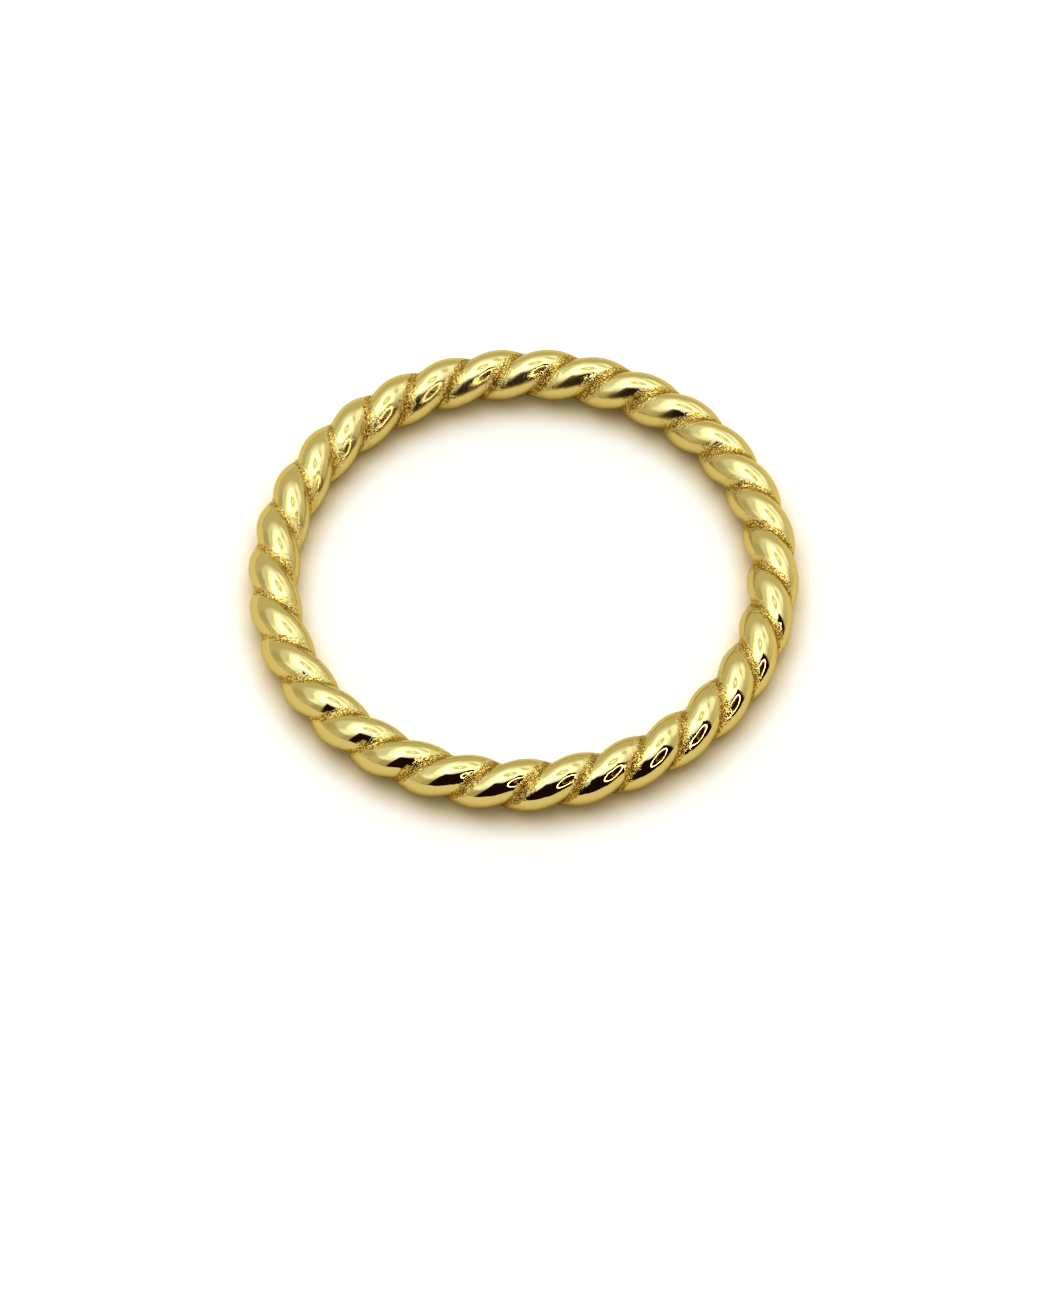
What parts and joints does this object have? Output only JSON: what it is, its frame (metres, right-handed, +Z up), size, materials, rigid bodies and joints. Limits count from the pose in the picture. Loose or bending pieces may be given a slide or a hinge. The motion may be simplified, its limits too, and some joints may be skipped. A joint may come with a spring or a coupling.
{
  "type": "rope twist ring",
  "caption": "Plain finger ring cast as a closed band of round strands twisted round each other like a rope, in bright yellow gold finish.",
  "frame": {"origin": "centre of the bounding box's bottom: on the ring's axis, in the plane that the ring lies on", "axes": "+Z up along the ring's axis, the way a finger goes through; +Y away from the camera of the picture, +X to its right"},
  "size_m": [0.0212, 0.0212, 0.002],
  "materials": {
    "gold_plate": "polished yellow gold plate, with fine cast grain left in the grooves"
  },
  "bodies": {
    "root": {"rope_band": "gold_plate"}
  },
  "joints": []
}
